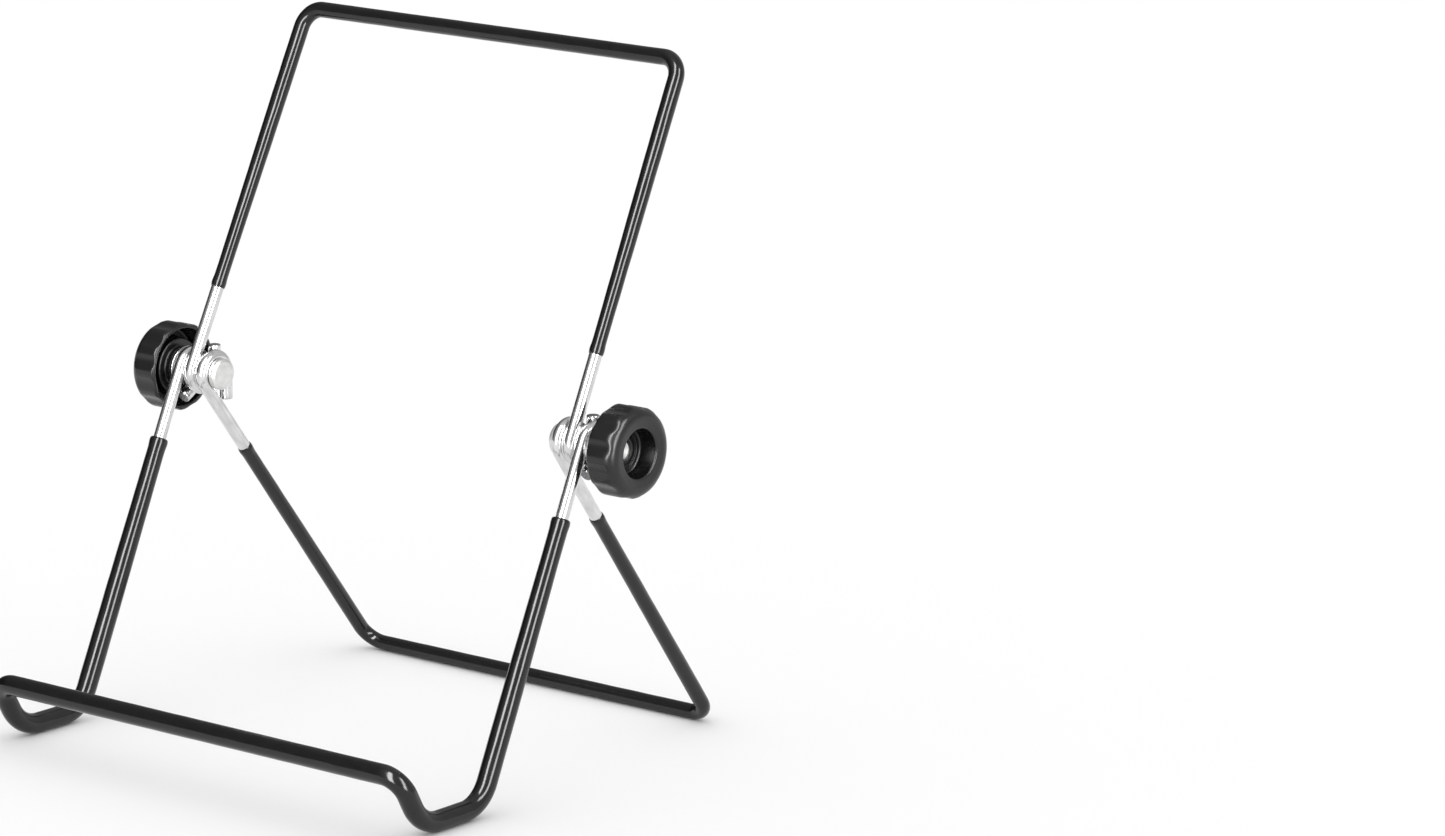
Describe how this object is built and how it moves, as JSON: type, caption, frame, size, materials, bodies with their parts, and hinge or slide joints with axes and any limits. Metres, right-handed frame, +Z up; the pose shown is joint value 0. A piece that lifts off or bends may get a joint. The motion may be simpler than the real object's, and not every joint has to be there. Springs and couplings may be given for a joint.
{
  "type": "photo album stand",
  "caption": "Folding wire easel for a photo album: hooked lower frame, upper back rest and rear leg of plastic-dipped steel wire, clamped at a common hinge by thumb knobs.",
  "frame": {"origin": "on the table, midway between the two sides and midway between the front of the shelf bar and the back of the leg's bar", "axes": "+X across the stand, to the right when seen from the front; -Y is the front, where the album stands; +Z up"},
  "size_m": [0.1556, 0.127, 0.169],
  "materials": {
    "wire": "bright nickel-plated steel wire, drawn lines along it, rough grey cut ends",
    "coat": "glossy black dipped PVC, slightly uneven",
    "bolt": "satin nickel-plated steel",
    "washer": "zinc-plated steel",
    "knob": "moulded black plastic with a soft sheen",
    "insert": "plain turned and knurled steel"
  },
  "bodies": {
    "lower_frame": {"lower_frame_wire": "wire", "lower_frame_coat": "coat", "bolt_left": "bolt", "bolt_right": "bolt", "inner_washer_left": "washer", "inner_washer_right": "washer", "middle_washer_left": "washer", "middle_washer_right": "washer", "knob_washer_left": "washer", "knob_washer_right": "washer"},
    "upper_frame": {"upper_frame_wire": "wire", "upper_frame_coat": "coat"},
    "rear_leg": {"rear_leg_wire": "wire", "rear_leg_coat": "coat"},
    "knob_left": {"knob_left": "knob", "knob_insert_left": "insert"},
    "knob_right": {"knob_right": "knob", "knob_insert_right": "insert"}
  },
  "joints": [
    {"name": "upper_frame_fold", "type": "hinge", "parent": "lower_frame", "child": "upper_frame", "pos_m": [0, 0.00807, 0.081], "axis": [1, 0, 0], "range_deg": [-60, 150]},
    {"name": "rear_leg_fold", "type": "hinge", "parent": "lower_frame", "child": "rear_leg", "pos_m": [0, 0.00807, 0.081], "axis": [1, 0, 0], "range_deg": [-61.8, 55]},
    {"name": "knob_left_turn", "type": "hinge", "parent": "lower_frame", "child": "knob_left", "pos_m": [-0.072, 0.00807, 0.081], "axis": [1, 0, 0], "continuous": true},
    {"name": "knob_right_turn", "type": "hinge", "parent": "lower_frame", "child": "knob_right", "pos_m": [0.0756, 0.00807, 0.081], "axis": [1, 0, 0], "continuous": true}
  ]
}
